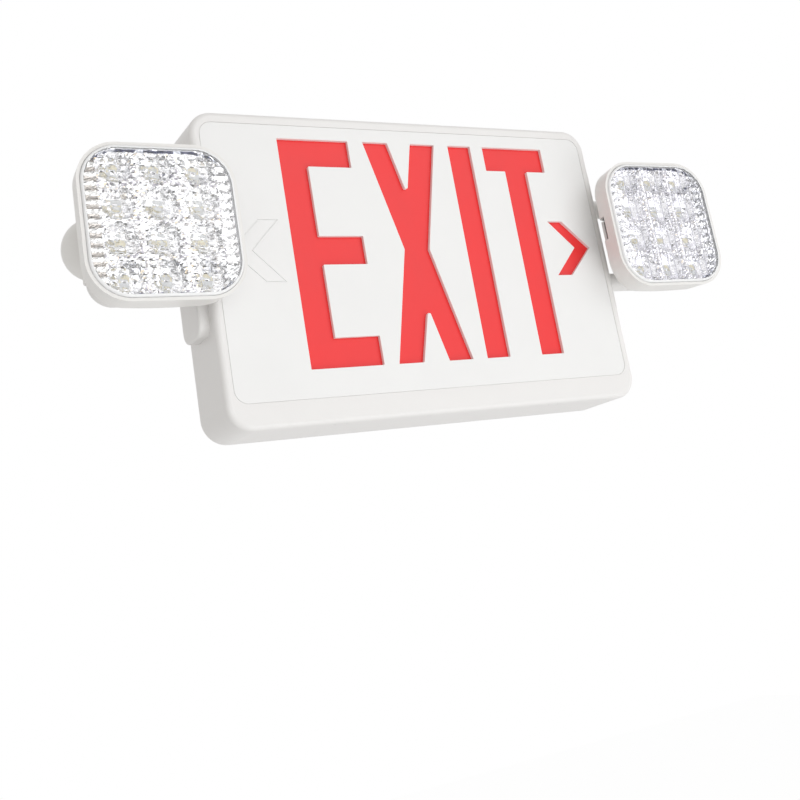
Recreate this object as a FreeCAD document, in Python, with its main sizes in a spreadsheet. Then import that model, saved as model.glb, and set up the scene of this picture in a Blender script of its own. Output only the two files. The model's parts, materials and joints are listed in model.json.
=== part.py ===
import FreeCAD, Part
import math
import os
import re

import Sketcher
from FreeCAD import Placement, Rotation, Vector

# Emergency exit light with two adjustable lamp heads.
# X runs to the right as the sign is read, the front faces -Y, Z is up, millimetres.
# The origin is the centre of the back face, which lies against the wall.

sizeTable = [
    # sign housing
    ("houseWide", 308.0, "housing width"),
    ("houseTall", 203.0, "housing height"),
    ("houseDeep", 46.5, "housing depth with its back cover"),
    ("houseCorner", 16.0, "housing corner radius"),
    ("houseEdge", 3.5, "round along the housing front edge"),
    ("houseWall", 2.5, "housing wall"),
    ("coverThick", 3.0, "back cover plate"),
    ("coverEdge", 1.2, "round along the back cover edge"),
    ("coverLip", 5.0, "depth of the lip that enters the housing"),
    ("lipThick", 2.0, "thickness of that lip"),
    ("fitGap", 0.2, "gap between parts that push together"),
    ("gateRadius", 2.5, "moulding gate recess in the back cover"),
    ("gateAcross", -14.0, "gate recess, distance from the centre"),
    ("gateDeep", 0.3, "gate recess depth"),
    # stencil face and diffuser
    ("faceWide", 295.5, "stencil face width"),
    ("faceTall", 179.1, "stencil face height"),
    ("faceCorner", 8.5, "stencil face corner radius"),
    ("faceRise", 4.4, "stencil face centre above the housing centre"),
    ("faceThick", 2.5, "stencil face plate"),
    ("faceGap", 0.45, "open joint round the stencil face"),
    ("ledgeReach", 4.0, "ledge that the stencil face rests on"),
    ("ledgeThick", 2.0, "ledge thickness"),
    ("hookWide", 9.0, "snap hook width"),
    ("hookThick", 1.5, "snap hook blade"),
    ("hookBarb", 1.3, "snap hook barb"),
    ("hookInset", 52.75, "snap hooks, distance from the side of the stencil face"),
    ("panelThick", 1.8, "red diffuser panel"),
    ("pinRadius", 1.5, "heat-stake pins that hold the diffuser"),
    ("pinSideInset", 13.85, "pins, distance from the side of the diffuser"),
    ("pinEndInset", 5.15, "pins, distance from its top and bottom edges"),
    ("pinRise", 1.2, "pin length behind the diffuser"),
    ("slotWide", 2.2, "release slots in the bottom wall, width"),
    ("slotDeep", 1.6, "release slots, front to back"),
    ("slotApart", 7.6, "release slots of one pair, spacing"),
    ("slotInset", 73.2, "release slot pairs, distance from the housing side"),
    ("slotBack", 4.6, "release slots, distance behind the front"),
    # lamp arms
    ("armRise", 18.5, "arm centre above the housing centre"),
    ("armDepth", 23.0, "arm axis, distance from the wall face"),
    ("padTall", 118.0, "side pad height"),
    ("padDeep", 30.0, "side pad, front to back"),
    ("padThick", 6.8, "side pad thickness"),
    ("padCorner", 8.0, "side pad corner radius"),
    ("padEdge", 1.5, "round along the side pad edge"),
    ("ballOut", 60.0, "ball centre, distance from the housing side"),
    ("tubeRadius", 6.75, "arm tube"),
    ("tubeBore", 4.05, "wire way in the arm tube"),
    ("tubeApart", 58.0, "spacing of the two tubes of an arm"),
    ("socketRadius", 7.1, "socket boss on the side pad"),
    ("socketLong", 5.5, "socket boss length"),
    ("spigotRadius", 5.0, "tube spigot in the side pad"),
    ("padScrewUp", 46.0, "pad screws, above and below the arm centre"),
    ("padScrewRadius", 1.5, "pad screw thread"),
    ("padScrewHead", 2.9, "pad screw head radius"),
    ("padScrewLong", 8.0, "pad screw length"),
    # swivel ball
    ("ballRadius", 19.0, "swivel ball"),
    ("ballCavity", 15.5, "hollow of the ball"),
    ("collarRadius", 8.25, "collar above and below the ball"),
    ("collarTop", 20.5, "collar end, distance from the ball centre"),
    ("collarGap", 0.15, "gap between collar and tube end"),
    ("pivotRadius", 5.0, "pivot pin of the ball"),
    ("pivotLong", 3.0, "pivot pin length"),
    ("pivotBore", 3.0, "wire way in the pivot pin"),
    ("runGap", 0.05, "radial clearance of a running fit"),
    ("bossRadius", 11.8, "boss of the ball, towards the lamp head"),
    ("bossOut", 20.3, "boss face, distance from the ball centre"),
    ("neckRadius", 6.0, "neck that turns in the boss"),
    ("neckBore", 3.5, "wire way in the neck"),
    ("flangeRadius", 8.5, "flange that keeps the neck in the ball"),
    ("flangeThick", 2.0, "flange thickness"),
    ("bossSeat", 16.2, "flange seat, distance from the ball centre"),
    # carrier and track
    ("trackRadius", 95.0, "curved back of the lamp head"),
    ("rideGap", 0.3, "gap under the carrier and beside the boss"),
    ("carrierThick", 5.2, "carrier block thickness"),
    ("carrierHalf", 8.1, "half the carrier width across the track"),
    ("carrierLong", 5.2, "carrier block length, along the track"),
    ("trackHalf", 7.0, "half the track width"),
    ("trackSlot", 1.4, "slot beside the track"),
    ("trackEnd", 41.5, "outer end of the slots, along the track from its middle"),
    ("windowStart", 44.0, "start of the entry window, along the track from its middle"),
    ("windowEnd", 52.2, "end of the entry window, along the track from its middle"),
    ("bladeThick", 0.9, "blade of the carrier in a slot"),
    ("keeperThick", 1.5, "keeper plate inside the head"),
    ("keeperGap", 0.35, "gap between keeper plate and head wall"),
    ("keeperSpare", 1.1, "keeper plate beyond the blades, on every side"),
    ("ribPitch", 4.0, "click rib spacing, along the track"),
    ("ribWide", 1.8, "click rib width, along the track"),
    ("ribRise", 0.6, "click rib height"),
    ("ribHalf", 5.0, "half the click rib length"),
    ("ribCount", 19.0, "number of click ribs"),
    # lamp head
    ("headWide", 95.0, "lamp head width at its rim"),
    ("headTall", 94.6, "lamp head height at its rim"),
    ("headCorner", 25.0, "lamp head corner radius"),
    ("headDeep", 28.2, "lamp head depth at its middle"),
    ("headDraft", 5.0, "draft of the side walls, degrees"),
    ("headEdge", 8.0, "round between sides and back"),
    ("headWall", 2.0, "lamp head wall"),
    ("lensInset", 2.25, "lens edge, distance inside the rim"),
    ("lensThick", 3.2, "lens depth with its skirt"),
    ("lensProud", 1.5, "lens, distance in front of the rim"),
    ("lensFace", 1.5, "lens face thickness"),
    ("lensRound", 1.2, "round along the lens edge"),
    ("lensSkirt", 1.6, "lens skirt thickness"),
    ("cupColumns", 3.0, "reflector cups across"),
    ("cupRows", 4.0, "reflector cups up and down"),
    ("cupPitchAcross", 25.0, "reflector cup spacing across"),
    ("cupPitchUp", 22.0, "reflector cup spacing up and down"),
    ("cupMouth", 10.2, "cup radius at its mouth"),
    ("cupThroat", 4.0, "cup radius at its throat"),
    ("cupDeep", 7.6, "cup depth"),
    ("cupWall", 1.0, "cup wall"),
    ("trayThick", 1.0, "reflector plate"),
    ("trayInset", 2.5, "reflector edge, distance inside the rim"),
    ("boardThick", 1.6, "circuit board thickness"),
    ("lampBoardWide", 76.0, "lamp board width"),
    ("lampBoardTall", 80.0, "lamp board height"),
    ("lampBoardCorner", 10.0, "lamp board corner radius"),
    ("chipSide", 2.4, "LED package side"),
    ("chipThick", 0.7, "LED package thickness"),
    ("chipApart", 3.4, "spacing of the two LEDs of a cup"),
    ("postRadius", 2.6, "screw post in the lamp head"),
    ("postAcross", 12.5, "screw posts, distance from the centre"),
    ("postUp", 33.0, "screw posts, above and below the centre"),
    ("lampScrewRadius", 1.1, "lamp board screw thread"),
    ("lampScrewHead", 1.8, "lamp board screw head radius"),
    ("lampScrewLong", 5.0, "lamp board screw length"),
    # how the heads stand
    ("neckTurnLeft", 13.0, "left neck, degrees in towards the sign"),
    ("neckTurnRight", 12.3, "right neck, degrees in towards the sign"),
    ("headTurnLeft", -0.3, "left head, degrees out from straight ahead"),
    ("headTurnRight", -1.1, "right head, degrees out from straight ahead"),
    # electrics
    ("stripLong", 250.0, "sign LED strip length"),
    ("stripWide", 10.0, "sign LED strip width"),
    ("stripDepth", 31.0, "sign LED strip centre, distance from the wall face"),
    ("stripChips", 12.0, "LEDs on a strip"),
    ("stripChipPitch", 20.0, "LED spacing on a strip"),
    ("driverWide", 120.0, "driver board width"),
    ("driverTall", 70.0, "driver board height"),
    ("driverAcross", 65.0, "driver board centre, across"),
    ("driverUp", 12.0, "driver board centre, up"),
    ("postTall", 8.0, "driver board posts"),
    ("driverPost", 3.5, "driver board post radius"),
    ("driverInset", 6.0, "posts, distance from the board edges"),
    ("driverScrewRadius", 1.4, "driver board screw thread"),
    ("driverScrewHead", 2.6, "driver board screw head radius"),
    ("driverScrewLong", 7.0, "driver board screw length"),
    ("coreWide", 34.0, "transformer core width"),
    ("coreTall", 28.0, "transformer core height"),
    ("coreDeep", 16.0, "transformer core depth"),
    ("bobbinWide", 20.0, "transformer bobbin width"),
    ("bobbinTall", 36.0, "transformer bobbin height"),
    ("bobbinDeep", 20.0, "transformer bobbin depth"),
    ("coreAcross", 92.0, "transformer centre, across"),
    ("canRadius", 5.0, "capacitor can radius"),
    ("canTall", 16.0, "capacitor can height"),
    ("canAcross", 55.0, "first capacitor, across"),
    ("canApart", 14.0, "capacitor spacing"),
    ("terminalWide", 26.0, "terminal block width"),
    ("terminalTall", 9.0, "terminal block height"),
    ("terminalDeep", 11.0, "terminal block depth"),
    ("cellRadius", 8.4, "battery cell radius"),
    ("cellLong", 50.0, "battery cell length"),
    ("cellAcross", -62.0, "battery pack centre, across"),
    ("cellUp", 12.0, "battery pack centre, up"),
    ("strapWide", 12.0, "battery strap width"),
    ("strapThick", 1.5, "battery strap thickness"),
    ("strapFoot", 10.0, "battery strap foot length"),
    # test button
    ("buttonRadius", 2.1, "test button radius"),
    ("buttonProud", 3.5, "test button, distance outside the wall"),
    ("buttonDepth", 20.0, "test button axis, distance from the wall face"),
    ("buttonRise", 33.5, "test button axis, above the bottom of the housing"),
    ("buttonFlange", 3.6, "test button flange radius"),
    ("buttonFlangeThick", 1.0, "test button flange thickness"),
    ("buttonStem", 3.3, "test button stem length"),
    ("buttonTravel", 1.5, "test button travel"),
    ("plungerRadius", 1.7, "switch plunger radius"),
    ("plungerLong", 2.4, "switch plunger length"),
    ("switchSide", 6.2, "switch case side"),
    ("switchDeep", 3.5, "switch case depth"),
    ("switchBoard", 14.0, "switch board side"),
    ("bracketThick", 2.5, "bracket that carries the switch board"),
]

doc = FreeCAD.newDocument("ExitLight")
sheet = doc.addObject("Spreadsheet::Sheet", "Sizes")
for row, (alias, number, meaning) in enumerate(sizeTable, 1):
    sheet.set(f"A{row}", meaning)
    sheet.set(f"B{row}", str(number))
    sheet.setAlias(f"B{row}", alias)
doc.recompute()


class Sizes:
    """The sheet's values, for the code that places parts."""


size = Sizes()
for alias, number, meaning in sizeTable:
    setattr(size, alias, float(sheet.get(alias)))
aliases = {alias for alias, number, meaning in sizeTable}
parts = []


# ---- helpers -------------------------------------------------------------

def fromSheet(text):
    """Turn 'houseWide - 2 * houseWall' into an expression on the sheet."""
    return re.sub(r"[A-Za-z]+", lambda word: "Sizes." + word[0] if word[0] in aliases else word[0], text)


def bind(thing, prop, text):
    thing.setExpression(prop, fromSheet(str(text)))


def moveTo(thing, where):
    for axis, text in zip("xyz", where):
        bind(thing, "Placement.Base." + axis, text)
    return thing


def box(name, spans, centre):
    """A block with its spans and its centre given along X, Y and Z."""
    block = doc.addObject("Part::Box", name)
    for prop, text in zip(("Length", "Width", "Height"), spans):
        bind(block, prop, text)
    return moveTo(block, [f"({middle}) - ({span}) / 2" for middle, span in zip(centre, spans)])


turns = {
    "x": Rotation(Vector(0, 1, 0), 90),
    "-x": Rotation(Vector(0, 1, 0), -90),
    "y": Rotation(Vector(1, 0, 0), -90),
    "-y": Rotation(Vector(1, 0, 0), 90),
    "z": Rotation(),
    "-z": Rotation(Vector(1, 0, 0), 180),
}


def rod(name, radius, length, start, towards):
    """A cylinder that begins at start and runs towards one of the axes."""
    cylinder = doc.addObject("Part::Cylinder", name)
    bind(cylinder, "Radius", radius)
    bind(cylinder, "Height", length)
    cylinder.Placement = Placement(Vector(), turns[towards])
    return moveTo(cylinder, start)


def cone(name, firstRadius, lastRadius, length, start, towards):
    frustum = doc.addObject("Part::Cone", name)
    bind(frustum, "Radius1", firstRadius)
    bind(frustum, "Radius2", lastRadius)
    bind(frustum, "Height", length)
    frustum.Placement = Placement(Vector(), turns[towards])
    return moveTo(frustum, start)


def fuse(name, pieces, refine=True):
    joined = doc.addObject("Part::MultiFuse", name)
    joined.Shapes = pieces
    joined.Refine = refine
    return joined


def cut(name, base, tools):
    tool = tools[0] if len(tools) == 1 else fuse(name + "_cutters", tools, refine=False)
    rest = doc.addObject("Part::Cut", name)
    rest.Base = base
    rest.Tool = tool
    rest.Refine = True
    return rest


def group(name, pieces):
    together = doc.addObject("Part::Compound", name)
    together.Links = pieces
    return together


def arcBlock(name, inner, outer, first, last, low, high, centre):
    """A curved block about a vertical axis, between two angles from +Y towards +X."""
    sectors = []
    for label, radius in (("outer", outer), ("inner", inner)):
        sector = doc.addObject("Part::Cylinder", f"{name}_{label}")
        bind(sector, "Radius", radius)
        bind(sector, "Height", f"({high}) - ({low})")
        sector.Angle = last - first
        sector.Placement = Placement(Vector(), Rotation(Vector(0, 0, 1), 90 - last))
        moveTo(sector, (centre[0], centre[1], f"({centre[2]}) + ({low})"))
        sectors.append(sector)
    return cut(name, sectors[0], [sectors[1]])


def keep(thing, label, placement=None):
    """Make a finished object one of the kept parts."""
    thing.Label = label
    if placement is not None:
        thing.Placement = placement
    parts.append(thing)
    return thing


def newBody(name):
    return doc.addObject("PartDesign::Body", name)


def sketchOn(body, name, role, offset=("0", "0", "0")):
    """A sketch on one of the body's own origin planes."""
    sketch = body.newObject("Sketcher::SketchObject", name)
    plane = [item for item in body.Origin.OriginFeatures if item.Role == role][0]
    sketch.AttachmentSupport = (plane, [""])
    sketch.MapMode = "FlatFace"
    for axis, text in zip("xyz", offset):
        bind(sketch, "AttachmentOffset.Base." + axis, text)
    return sketch


def drawRoundedBox(sketch, tag, wide, tall, corner, start=(100.0, 80.0, 10.0)):
    """A rounded rectangle about the sketch origin, its three sizes bound to the sheet."""
    across, up, radius = start[0] / 2, start[1] / 2, start[2]
    first = sketch.GeometryCount
    sketch.addGeometry([
        Part.LineSegment(Vector(radius - across, up, 0), Vector(across - radius, up, 0)),
        Part.LineSegment(Vector(across, up - radius, 0), Vector(across, radius - up, 0)),
        Part.LineSegment(Vector(across - radius, -up, 0), Vector(radius - across, -up, 0)),
        Part.LineSegment(Vector(-across, radius - up, 0), Vector(-across, up - radius, 0)),
    ], False)
    corners = ((1, 1, 0.0), (1, -1, 1.5), (-1, -1, 1.0), (-1, 1, 0.5))
    for sideX, sideY, quarter in corners:
        centre = Vector(sideX * (across - radius), sideY * (up - radius), 0)
        circle = Part.Circle(centre, Vector(0, 0, 1), radius)
        begin = quarter * math.pi
        sketch.addGeometry(Part.ArcOfCircle(circle, begin, begin + math.pi / 2), False)
    top, right, bottom, left = range(first, first + 4)
    topRight, bottomRight, bottomLeft, topLeft = range(first + 4, first + 8)
    rule = Sketcher.Constraint
    sketch.addConstraint([
        rule("Horizontal", top), rule("Vertical", right),
        rule("Horizontal", bottom), rule("Vertical", left),
        rule("Tangent", top, 2, topRight, 2), rule("Tangent", right, 1, topRight, 1),
        rule("Tangent", right, 2, bottomRight, 2), rule("Tangent", bottom, 1, bottomRight, 1),
        rule("Tangent", bottom, 2, bottomLeft, 2), rule("Tangent", left, 1, bottomLeft, 1),
        rule("Tangent", left, 2, topLeft, 2), rule("Tangent", top, 1, topLeft, 1),
        rule("Equal", topRight, bottomRight), rule("Equal", bottomRight, bottomLeft),
        rule("Equal", bottomLeft, topLeft),
        rule("Symmetric", topRight, 3, bottomLeft, 3, -1, 1),
    ])
    named = (
        ("Wide", rule("DistanceX", left, 1, right, 1, start[0]), wide),
        ("Tall", rule("DistanceY", bottom, 2, top, 2, start[1]), tall),
        ("Corner", rule("Radius", topRight, radius), corner),
    )
    for word, constraint, text in named:
        index = sketch.addConstraint(constraint)
        sketch.renameConstraint(index, tag + word)
        bind(sketch, f"Constraints.{tag}{word}", text)


def drawCircle(sketch, tag, across, up, radius):
    """A circle whose centre and radius are bound to the sheet."""
    index = sketch.addGeometry(Part.Circle(Vector(10, 10, 0), Vector(0, 0, 1), 2), False)
    rule = Sketcher.Constraint
    named = (
        ("Across", rule("DistanceX", -1, 1, index, 3, 10), across),
        ("Up", rule("DistanceY", -1, 1, index, 3, 10), up),
        ("Radius", rule("Radius", index, 2), radius),
    )
    for word, constraint, text in named:
        number = sketch.addConstraint(constraint)
        sketch.renameConstraint(number, tag + word)
        bind(sketch, f"Constraints.{tag}{word}", text)


def extrude(body, kind, name, sketch, length, reverse=False, symmetric=False):
    """A Pad or a Pocket of a sketch."""
    feature = body.newObject("PartDesign::" + kind, name)
    feature.Profile = sketch
    bind(feature, "Length", length)
    feature.Reversed = reverse
    if symmetric:
        feature.SideType = "Symmetric"
    sketch.Visibility = False
    return feature


def roundEdges(body, name, radius, wanted):
    """Fillet the edges of the body's last feature that the test picks."""
    doc.recompute()
    base = body.Tip
    picked = [f"Edge{number}" for number, edge in enumerate(base.Shape.Edges, 1) if wanted(edge.BoundBox)]
    fillet = body.newObject("PartDesign::Fillet", name)
    fillet.Base = (base, picked)
    bind(fillet, "Radius", radius)
    return fillet


def edgesAtY(depth):
    """A test for edges that lie wholly in the plane Y = depth."""
    return lambda bounds: abs(bounds.YMin - depth) < 0.01 and abs(bounds.YMax - depth) < 0.01


# ---- sign housing --------------------------------------------------------

sides = (("left", -1), ("right", 1))
buttonUp = "(buttonRise - houseTall / 2)"


def makeHousing():
    """Open box with a front frame, a ledge for the stencil face and the holes in its walls."""
    body = newBody("HousingBody")
    outline = sketchOn(body, "HouseOutline", "XZ_Plane", ("0", "0", "coverThick"))
    drawRoundedBox(outline, "house", "houseWide", "houseTall", "houseCorner")
    extrude(body, "Pad", "HouseBlock", outline, "houseDeep - coverThick")
    outer = -size.houseDeep
    roundEdges(body, "HouseFrontEdge", "houseEdge", edgesAtY(outer))
    inside = sketchOn(body, "HouseInside", "XZ_Plane", ("0", "0", "coverThick"))
    drawRoundedBox(inside, "inside", "houseWide - 2 * houseWall", "houseTall - 2 * houseWall",
                   "houseCorner - houseWall")
    extrude(body, "Pocket", "HouseHollow", inside, "houseDeep - coverThick - houseWall", reverse=True)
    ledge = sketchOn(body, "LedgeRing", "XZ_Plane", ("0", "faceRise", "houseDeep - faceThick"))
    drawRoundedBox(ledge, "ring", "faceWide + 2 * faceGap + 3", "faceTall + 2 * faceGap + 3",
                   "faceCorner + faceGap + 1.5")
    extrude(body, "Pad", "Ledge", ledge, "ledgeThick", reverse=True)
    opening = sketchOn(body, "LedgeOpening", "XZ_Plane", ("0", "faceRise", "houseDeep"))
    drawRoundedBox(opening, "clear", "faceWide - 2 * ledgeReach", "faceTall - 2 * ledgeReach",
                   "faceCorner - ledgeReach")
    extrude(body, "Pocket", "LedgeClear", opening, "faceThick + ledgeThick + 1")
    seat = sketchOn(body, "FaceSeat", "XZ_Plane", ("0", "faceRise", "houseDeep"))
    drawRoundedBox(seat, "seat", "faceWide + 2 * faceGap", "faceTall + 2 * faceGap",
                   "faceCorner + faceGap")
    extrude(body, "Pocket", "FaceRebate", seat, "faceThick")
    sideHoles = sketchOn(body, "SideHoles", "YZ_Plane")
    for up in (-1, 1):
        tag = "low" if up < 0 else "high"
        drawCircle(sideHoles, tag + "Wire", "-armDepth", f"armRise + {up} * tubeApart / 2",
                   "spigotRadius + fitGap")
        drawCircle(sideHoles, tag + "Screw", "-armDepth", f"armRise + {up} * padScrewUp",
                   "padScrewRadius + fitGap")
    extrude(body, "Pocket", "SideHolesCut", sideHoles, "houseWide + 2", symmetric=True)
    buttonHole = sketchOn(body, "ButtonHole", "YZ_Plane", ("0", "0", "houseWide / 2 + 1"))
    drawCircle(buttonHole, "button", "-buttonDepth", buttonUp, "buttonRadius + 2 * runGap")
    extrude(body, "Pocket", "ButtonHoleCut", buttonHole, "houseWall + 2")
    openings = []
    for sideX in (-1, 1):
        for sideSlot in (-1, 1):
            openings.append(box(
                f"ReleaseSlot{len(openings)}", ("slotWide", "slotDeep", "houseWall + 2"),
                (f"{sideX} * (houseWide / 2 - slotInset) + {sideSlot} * slotApart / 2",
                 "slotBack - houseDeep", "houseWall / 2 - houseTall / 2")))
    for sideX in (-1, 1):
        for sideZ in (-1, 1):
            openings.append(box(
                f"HookNotch{len(openings)}",
                ("hookWide + 2 * fitGap", "ledgeThick + 2", "hookThick + 2 * fitGap"),
                (f"{sideX} * (faceWide / 2 - hookInset)", "faceThick + ledgeThick / 2 + 0.5 - houseDeep",
                 f"faceRise + {sideZ} * (faceTall / 2 - ledgeReach + hookThick / 2)")))
    keep(cut("Housing", body, openings), "housing")


def makeBackCover():
    """Plain plate with a lip into the housing and the seats of the electrics."""
    body = newBody("CoverBody")
    plate = sketchOn(body, "CoverOutline", "XZ_Plane")
    drawRoundedBox(plate, "cover", "houseWide", "houseTall", "houseCorner")
    extrude(body, "Pad", "CoverPlate", plate, "coverThick")
    roundEdges(body, "CoverBackEdge", "coverEdge", edgesAtY(0))
    lip = sketchOn(body, "LipRing", "XZ_Plane", ("0", "0", "coverThick"))
    drawRoundedBox(lip, "lip", "houseWide - 2 * houseWall - 2 * fitGap",
                   "houseTall - 2 * houseWall - 2 * fitGap", "houseCorner - houseWall - fitGap")
    drawRoundedBox(lip, "bay", "houseWide - 2 * (houseWall + fitGap + lipThick)",
                   "houseTall - 2 * (houseWall + fitGap + lipThick)",
                   "houseCorner - houseWall - fitGap - lipThick", (80.0, 60.0, 5.0))
    extrude(body, "Pad", "Lip", lip, "coverLip")
    gate = sketchOn(body, "GateMark", "XZ_Plane")
    drawCircle(gate, "gate", "gateAcross", "0", "gateRadius")
    extrude(body, "Pocket", "GateRecess", gate, "gateDeep", reverse=True)
    posts, pilots = [], []
    for across, up in driverCorners():
        number = len(posts)
        posts.append(rod(f"DriverPost{number}", "driverPost", "postTall + 0.5",
                         (across, "0.5 - coverThick", up), "-y"))
        pilots.append(rod(f"DriverPilot{number}", "driverScrewRadius", "driverScrewLong",
                          (across, "-coverThick - postTall - boardThick", up), "y"))
    bracket = box("SwitchBracket", ("bracketThick", "buttonDepth + switchBoard / 2 - coverThick + 0.5", "switchBoard"),
                  (bracketAcross(), "0.25 - (buttonDepth + switchBoard / 2 + coverThick) / 2", buttonUp))
    whole = fuse("CoverWithSeats", [body, bracket] + posts)
    keep(cut("BackCover", whole, pilots), "back_cover")


def driverCorners():
    """The four fixing points of the driver board."""
    return [(f"driverAcross + {sideX} * (driverWide / 2 - driverInset)",
             f"driverUp + {sideZ} * (driverTall / 2 - driverInset)")
            for sideX in (-1, 1) for sideZ in (-1, 1)]


panelWide = "(faceWide - 2 * ledgeReach - 4 * fitGap - 2 * hookThick)"
panelTall = "(faceTall - 2 * ledgeReach - 4 * fitGap)"
pinAcross = f"({panelWide} / 2 - pinSideInset)"
pinUp = f"({panelTall} / 2 - pinEndInset)"


def makeStencilFace():
    """Flush face plate with hooks behind the ledge and stake pins for the diffuser."""
    body = newBody("FaceBody")
    outline = sketchOn(body, "FaceOutline", "XZ_Plane", ("0", "faceRise", "houseDeep - faceThick"))
    drawRoundedBox(outline, "face", "faceWide", "faceTall", "faceCorner")
    extrude(body, "Pad", "FacePlate", outline, "faceThick")
    backY = "faceThick - houseDeep"
    pieces = [body]
    for sideX in (-1, 0, 1):
        for sideZ in (-1, 1):
            pieces.append(rod(f"StakePin{len(pieces)}", "pinRadius", "panelThick + pinRise + 0.5",
                              (f"{sideX} * {pinAcross}", f"{backY} - 0.5", f"faceRise + {sideZ} * {pinUp}"), "y"))
    for sideX in (-1, 1):
        for sideZ in (-1, 1):
            edge = f"faceRise + {sideZ} * (faceTall / 2 - ledgeReach"
            pieces.append(box(
                f"HookBlade{len(pieces)}", ("hookWide", "ledgeThick + fitGap + 1.5 + 0.5", "hookThick"),
                (f"{sideX} * (faceWide / 2 - hookInset)", f"{backY} + (ledgeThick + fitGap + 1.5 - 0.5) / 2",
                 f"{edge} + hookThick / 2)")))
            pieces.append(box(
                f"HookBarb{len(pieces)}", ("hookWide", "1.5", "hookThick + hookBarb"),
                (f"{sideX} * (faceWide / 2 - hookInset)", f"{backY} + ledgeThick + fitGap + 0.75",
                 f"{edge} + (hookThick + hookBarb) / 2)")))
    keep(fuse("StencilFace", pieces), "stencil_face")


def makeDiffuser():
    """Red panel behind the stencil face, with holes for the stake pins."""
    body = newBody("DiffuserBody")
    outline = sketchOn(body, "PanelOutline", "XZ_Plane",
                       ("0", "faceRise", "houseDeep - faceThick - panelThick"))
    drawRoundedBox(outline, "panel", panelWide, panelTall, "faceCorner - ledgeReach")
    for sideX in (-1, 0, 1):
        for sideZ in (-1, 1):
            drawCircle(outline, f"pin{'LMR'[sideX + 1]}{'BT'[sideZ > 0]}", f"{sideX} * {pinAcross}",
                       f"{sideZ} * {pinUp}", "pinRadius + fitGap")
    extrude(body, "Pad", "Panel", outline, "panelThick")
    keep(body, "diffuser")


# ---- electrics inside the sign -------------------------------------------

def makeSignLamps():
    """Two LED strips, along the top and the bottom of the light box."""
    chips = []
    for word, side in (("upper", 1), ("lower", -1)):
        wallZ = f"{side} * (houseTall / 2 - houseWall)"
        strip = box(f"{word}Strip", ("stripLong", "stripWide", "boardThick"),
                    ("0", "-stripDepth", f"{wallZ} - {side} * boardThick / 2"))
        keep(strip, f"sign_led_strip_{word}")
        for number in range(int(size.stripChips)):
            across = f"stripChipPitch * {number - (size.stripChips - 1) / 2}"
            chips.append(box(f"SignChip{len(chips)}", ("chipSide", "chipSide", "chipThick"),
                             (across, "-stripDepth", f"{wallZ} - {side} * (boardThick + chipThick / 2)")))
    keep(group("SignLeds", chips), "sign_leds")


def makeDriver():
    """Driver board with its transformer, capacitors and mains terminal block."""
    seatY = "-coverThick - postTall"
    board = box("DriverBlank", ("driverWide", "boardThick", "driverTall"),
                ("driverAcross", f"{seatY} - boardThick / 2", "driverUp"))
    holes, screws = [], []
    for across, up in driverCorners():
        number = len(holes)
        holes.append(rod(f"DriverHole{number}", "driverScrewRadius + fitGap", "boardThick + 2",
                         (across, f"{seatY} + 1", up), "-y"))
        shaft = rod(f"DriverShaft{number}", "driverScrewRadius", "driverScrewLong",
                    (across, f"{seatY} - boardThick", up), "y")
        head = rod(f"DriverHead{number}", "driverScrewHead", "driverScrewRadius + 0.4",
                   (across, f"{seatY} - boardThick", up), "-y")
        screws.append(fuse(f"DriverScrew{number}", [shaft, head]))
    keep(cut("DriverBoard", board, holes), "driver_board")
    keep(group("BoardScrews", screws), "driver_screws")
    faceY = f"{seatY} - boardThick"
    core = box("Core", ("coreWide", "coreDeep", "coreTall"),
               ("coreAcross", f"{faceY} - bobbinDeep / 2", "driverUp"))
    bobbin = box("Bobbin", ("bobbinWide", "bobbinDeep", "bobbinTall"),
                 ("coreAcross", f"{faceY} - bobbinDeep / 2", "driverUp"))
    keep(fuse("Transformer", [core, bobbin]), "transformer")
    cans = [rod(f"Can{number}", "canRadius", "canTall",
                (f"canAcross - {number} * canApart", faceY, "driverUp + 14"), "-y") for number in range(2)]
    keep(group("Capacitors", cans), "capacitors")
    keep(box("Terminals", ("terminalWide", "terminalDeep", "terminalTall"),
             ("canAcross - canApart / 2", f"{faceY} - terminalDeep / 2", "driverUp - 20")), "terminal_block")


def makeBattery():
    """Three cells in one sleeve, held to the back cover by a strap."""
    centreY = "-coverThick - cellRadius"
    cells = [rod(f"Cell{number}", "cellRadius", "cellLong",
                 (f"cellAcross + {number} * 2 * (cellRadius - 0.1)", centreY, "cellUp - cellLong / 2"), "z")
             for number in (-1, 0, 1)]
    keep(fuse("Battery", cells), "battery_pack")
    packWide = "(6 * cellRadius - 0.4 + 2 * fitGap)"
    packDeep = "(2 * cellRadius + fitGap)"
    outer = box("StrapOuter", (f"{packWide} + 2 * strapThick", f"{packDeep} + strapThick", "strapWide"),
                ("cellAcross", f"-coverThick - ({packDeep} + strapThick) / 2", "cellUp"))
    feet = box("StrapFeet", (f"{packWide} + 2 * strapThick + 2 * strapFoot", "strapThick", "strapWide"),
               ("cellAcross", "-coverThick - strapThick / 2", "cellUp"))
    bay = box("StrapBay", (packWide, f"{packDeep} + 1", "strapWide + 2"),
              ("cellAcross", f"1 - coverThick - ({packDeep} + 1) / 2", "cellUp"))
    keep(cut("Strap", fuse("StrapBlank", [outer, feet]), [bay]), "battery_strap")


def bracketAcross():
    """Middle of the bracket that stands behind the switch board."""
    return ("houseWide / 2 - houseWall - fitGap - buttonFlangeThick - buttonStem - plungerLong"
            " + 1.5 - switchDeep - boardThick - bracketThick / 2")


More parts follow.
